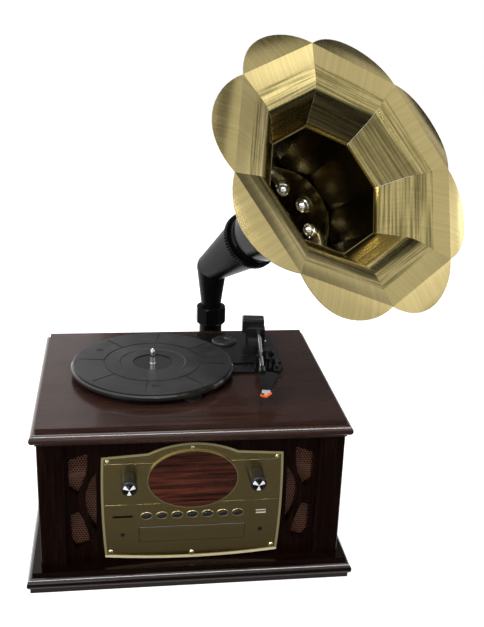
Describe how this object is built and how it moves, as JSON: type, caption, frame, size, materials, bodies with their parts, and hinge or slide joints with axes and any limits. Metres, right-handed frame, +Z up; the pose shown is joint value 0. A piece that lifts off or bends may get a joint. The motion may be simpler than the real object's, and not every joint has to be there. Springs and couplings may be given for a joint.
{
  "type": "gramophone",
  "caption": "Wooden-cabinet gramophone-style music player: record deck with tonearm on top, brass control plate with disc tray in front and a swivelling brass flower horn behind.",
  "frame": {"origin": "middle of the plinth's foot, on the table", "axes": "+X to the right seen from the front, -Y towards the listener, +Z up"},
  "size_m": [0.5969, 0.4059, 0.6864],
  "materials": {
    "mahogany": "dark red-brown gloss lacquer",
    "plain_board": "dark stained board, matt",
    "copper_mesh": "copper-coloured perforated sheet",
    "black_metal": "satin black paint",
    "cone_paper": "pressed paper cone",
    "plate_brass": "polished, slightly aged",
    "rosewood": "streaked, gloss lacquer",
    "screw_brass": "polished",
    "circuit": "printed circuit board",
    "steel": "plain",
    "ivory": "cream",
    "black_plastic": "gloss black",
    "grey_plastic": "light grey",
    "chrome": "polished",
    "belt_rubber": "matt black",
    "platter_black": "gloss black rim",
    "mat_rubber": "charcoal, matt",
    "stylus_red": "translucent red-orange",
    "horn_brass": "brushed, clear lacquer"
  },
  "bodies": {
    "cabinet": {"plinth": "mahogany", "side_panels": "mahogany", "front_panel": "mahogany", "corner_pilasters": "mahogany", "top_board": "mahogany", "bottom_board": "plain_board", "back_panel": "plain_board", "speaker_grilles": "copper_mesh", "speaker_frames": "black_metal", "horn_bracket": "black_metal", "horn_post": "black_metal", "deck_plate": "black_metal", "speaker_cones": "cone_paper", "faceplate": "plate_brass", "oval_rim": "plate_brass", "oval_plaque": "rosewood", "faceplate_screws": "screw_brass", "control_board": "circuit", "amplifier_board": "circuit", "potentiometers": "steel", "cd_chassis": "steel", "power_transformer": "steel", "bracket_screws": "steel", "platter_motor": "steel", "usb_socket": "ivory", "card_socket": "black_plastic", "audio_jacks": "black_plastic", "power_inlet": "black_plastic", "arm_rest": "black_plastic", "spindle": "chrome", "drive_belt": "belt_rubber"},
    "platter": {"platter": "platter_black", "platter_mat": "mat_rubber"},
    "pulley": {"motor_pulley": "chrome"},
    "turret": {"tonearm_turret": "black_metal"},
    "tonearm": {"tonearm_tube": "chrome", "headshell": "black_plastic", "cartridge": "grey_plastic", "stylus": "stylus_red", "counterweight": "black_plastic"},
    "cue_lever": {"cue_lever": "black_plastic"},
    "speed_lever": {"speed_lever": "black_plastic"},
    "adapter": {"adapter_45": "black_plastic"},
    "volume_knob": {"volume_knob": "black_plastic"},
    "tuning_knob": {"tuning_knob": "black_plastic"},
    "disc_tray": {"cd_tray": "black_plastic"},
    "horn": {"horn_neck": "black_metal", "throat_cup": "horn_brass", "horn_throat": "horn_brass", "horn_petals": "horn_brass", "dome_nuts": "chrome"},
    "lock_ring": {"lock_ring": "black_metal"},
    "union_nut": {"union_nut": "black_metal"},
    "power_button": {"power_button": "black_plastic"},
    "source_button": {"source_button": "black_plastic"},
    "previous_button": {"previous_button": "black_plastic"},
    "play_button": {"play_button": "black_plastic"},
    "next_button": {"next_button": "black_plastic"},
    "stop_button": {"stop_button": "black_plastic"},
    "record_button": {"record_button": "black_plastic"}
  },
  "joints": [
    {"name": "platter_spin", "type": "hinge", "parent": "cabinet", "child": "platter", "pos_m": [-0.045, 0.005, 0.2425], "axis": [0, 0, 1], "continuous": true},
    {"name": "pulley_spin", "type": "hinge", "parent": "cabinet", "child": "pulley", "pos_m": [0.001, -0.07467, 0.2375], "axis": [0, 0, 1], "continuous": true},
    {"name": "arm_swing", "type": "hinge", "parent": "cabinet", "child": "turret", "pos_m": [0.1115, 0.084, 0.2333], "axis": [0, 0, 1], "range_deg": [-42, 0]},
    {"name": "arm_lift", "type": "hinge", "parent": "turret", "child": "tonearm", "pos_m": [0.1115, 0.084, 0.256], "axis": [-0.9934, 0.1149, 0], "range_deg": [0, 15]},
    {"name": "cue_turn", "type": "hinge", "parent": "cabinet", "child": "cue_lever", "pos_m": [0.103, 0.01049, 0.241], "axis": [-0.9934, 0.1149, 0], "range_deg": [0, 30]},
    {"name": "speed_slide", "type": "slide", "parent": "cabinet", "child": "speed_lever", "axis": [0, 1, 0], "range_m": [-0.005, 0.005]},
    {"name": "adapter_lift", "type": "slide", "parent": "cabinet", "child": "adapter", "axis": [0, 0, 1], "range_m": [0, 0.02]},
    {"name": "volume_turn", "type": "hinge", "parent": "cabinet", "child": "volume_knob", "pos_m": [-0.0816, -0.16, 0.15], "axis": [0, 1, 0], "range_deg": [-150, 150]},
    {"name": "tuning_turn", "type": "hinge", "parent": "cabinet", "child": "tuning_knob", "pos_m": [0.0816, -0.16, 0.15], "axis": [0, 1, 0], "range_deg": [-150, 150]},
    {"name": "tray_slide", "type": "slide", "parent": "cabinet", "child": "disc_tray", "axis": [0, -1, 0], "range_m": [0, 0.142]},
    {"name": "horn_turn", "type": "hinge", "parent": "cabinet", "child": "horn", "pos_m": [0.0551, 0.188, 0.25], "axis": [0, 0, 1], "range_deg": [-120, 120]},
    {"name": "lock_ring_turn", "type": "hinge", "parent": "horn", "child": "lock_ring", "pos_m": [0.10278, 0.10988, 0.39036], "axis": [0.4257, -0.6975, 0.5764], "range_deg": [0, 180]},
    {"name": "union_nut_turn", "type": "hinge", "parent": "cabinet", "child": "union_nut", "pos_m": [0.0551, 0.188, 0.2475], "axis": [0, 0, 1], "range_deg": [0, 180]},
    {"name": "power_press", "type": "slide", "parent": "cabinet", "child": "power_button", "axis": [0, 1, 0], "range_m": [0, 0.0015], "stiffness_N_per_m": 400, "springref_m": -0.001},
    {"name": "source_press", "type": "slide", "parent": "cabinet", "child": "source_button", "axis": [0, 1, 0], "range_m": [0, 0.0015], "stiffness_N_per_m": 400, "springref_m": -0.001},
    {"name": "previous_press", "type": "slide", "parent": "cabinet", "child": "previous_button", "axis": [0, 1, 0], "range_m": [0, 0.0015], "stiffness_N_per_m": 400, "springref_m": -0.001},
    {"name": "play_press", "type": "slide", "parent": "cabinet", "child": "play_button", "axis": [0, 1, 0], "range_m": [0, 0.0015], "stiffness_N_per_m": 400, "springref_m": -0.001},
    {"name": "next_press", "type": "slide", "parent": "cabinet", "child": "next_button", "axis": [0, 1, 0], "range_m": [0, 0.0015], "stiffness_N_per_m": 400, "springref_m": -0.001},
    {"name": "stop_press", "type": "slide", "parent": "cabinet", "child": "stop_button", "axis": [0, 1, 0], "range_m": [0, 0.0015], "stiffness_N_per_m": 400, "springref_m": -0.001},
    {"name": "record_press", "type": "slide", "parent": "cabinet", "child": "record_button", "axis": [0, 1, 0], "range_m": [0, 0.0015], "stiffness_N_per_m": 400, "springref_m": -0.001}
  ],
  "couplings": [
    {"joint": "pulley_spin", "follows": "platter_spin", "ratio": 14}
  ]
}
